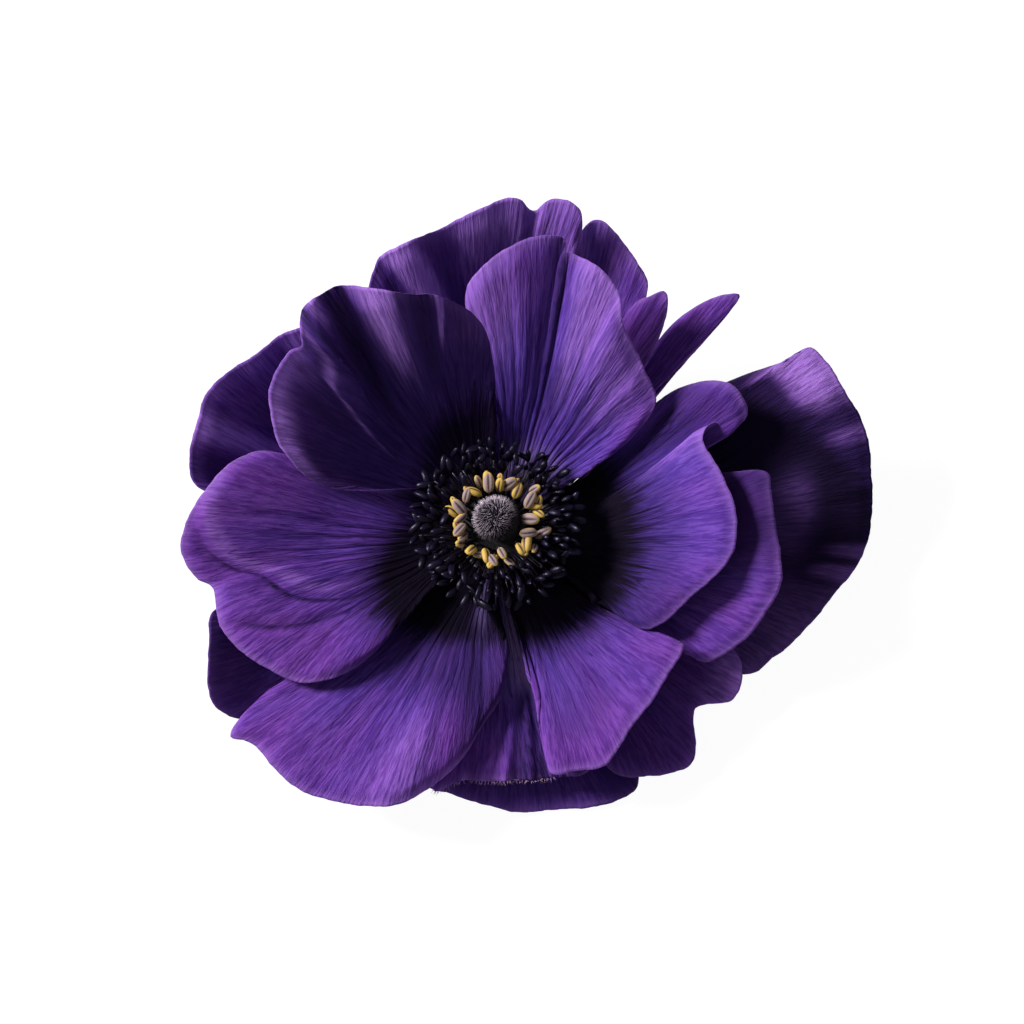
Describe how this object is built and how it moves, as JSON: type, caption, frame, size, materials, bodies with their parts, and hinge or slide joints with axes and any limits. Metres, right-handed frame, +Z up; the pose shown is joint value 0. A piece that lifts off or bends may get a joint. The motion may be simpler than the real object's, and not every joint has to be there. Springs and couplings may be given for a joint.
{
  "type": "anemone bloom",
  "caption": "Fully open violet anemone flower head with layered cupped petals, a ring of dark stamens and a domed grey pistil, lying face up on its outer petals.",
  "frame": {"origin": "on the surface the bloom rests on, under the middle of its bounding box", "axes": "+Z up, out of the flower's face; +X towards the largest outer petal, along the bloom's widest extent; +Y towards the tall petals that curl up at the back"},
  "size_m": [0.09, 0.0772, 0.0335],
  "materials": {
    "petal": "velvety violet petal with fine veins and a near-black base",
    "outer_petal": "velvety deeper violet petal with fine veins and a near-black base",
    "stalk": "matt, finely downy green stalk",
    "stamen_dark": "blue-black, slightly glossy",
    "anther_cream": "matt cream with lilac-grey tops",
    "pistil": "lilac-grey and downy"
  },
  "bodies": {
    "root": {"stalk_and_receptacle": "stalk", "pistil": "pistil", "inner_stamens": "anther_cream", "middle_stamens": "stamen_dark", "outer_stamens": "stamen_dark", "inner_petal_northwest": "petal", "inner_petal_north": "petal", "inner_petal_east": "petal", "inner_petal_southeast": "petal", "inner_petal_southwest": "petal", "inner_petal_west": "petal", "middle_petal_east": "outer_petal", "middle_petal_south": "outer_petal", "outer_petal_north": "outer_petal", "outer_petal_northwest": "outer_petal", "outer_petal_southeast": "outer_petal", "narrow_petal_north": "outer_petal", "outer_petal_northeast": "outer_petal", "outer_petal_southwest": "outer_petal", "outer_petal_south": "outer_petal", "outer_petal_east": "outer_petal", "narrow_petal_northeast": "outer_petal"}
  },
  "joints": []
}
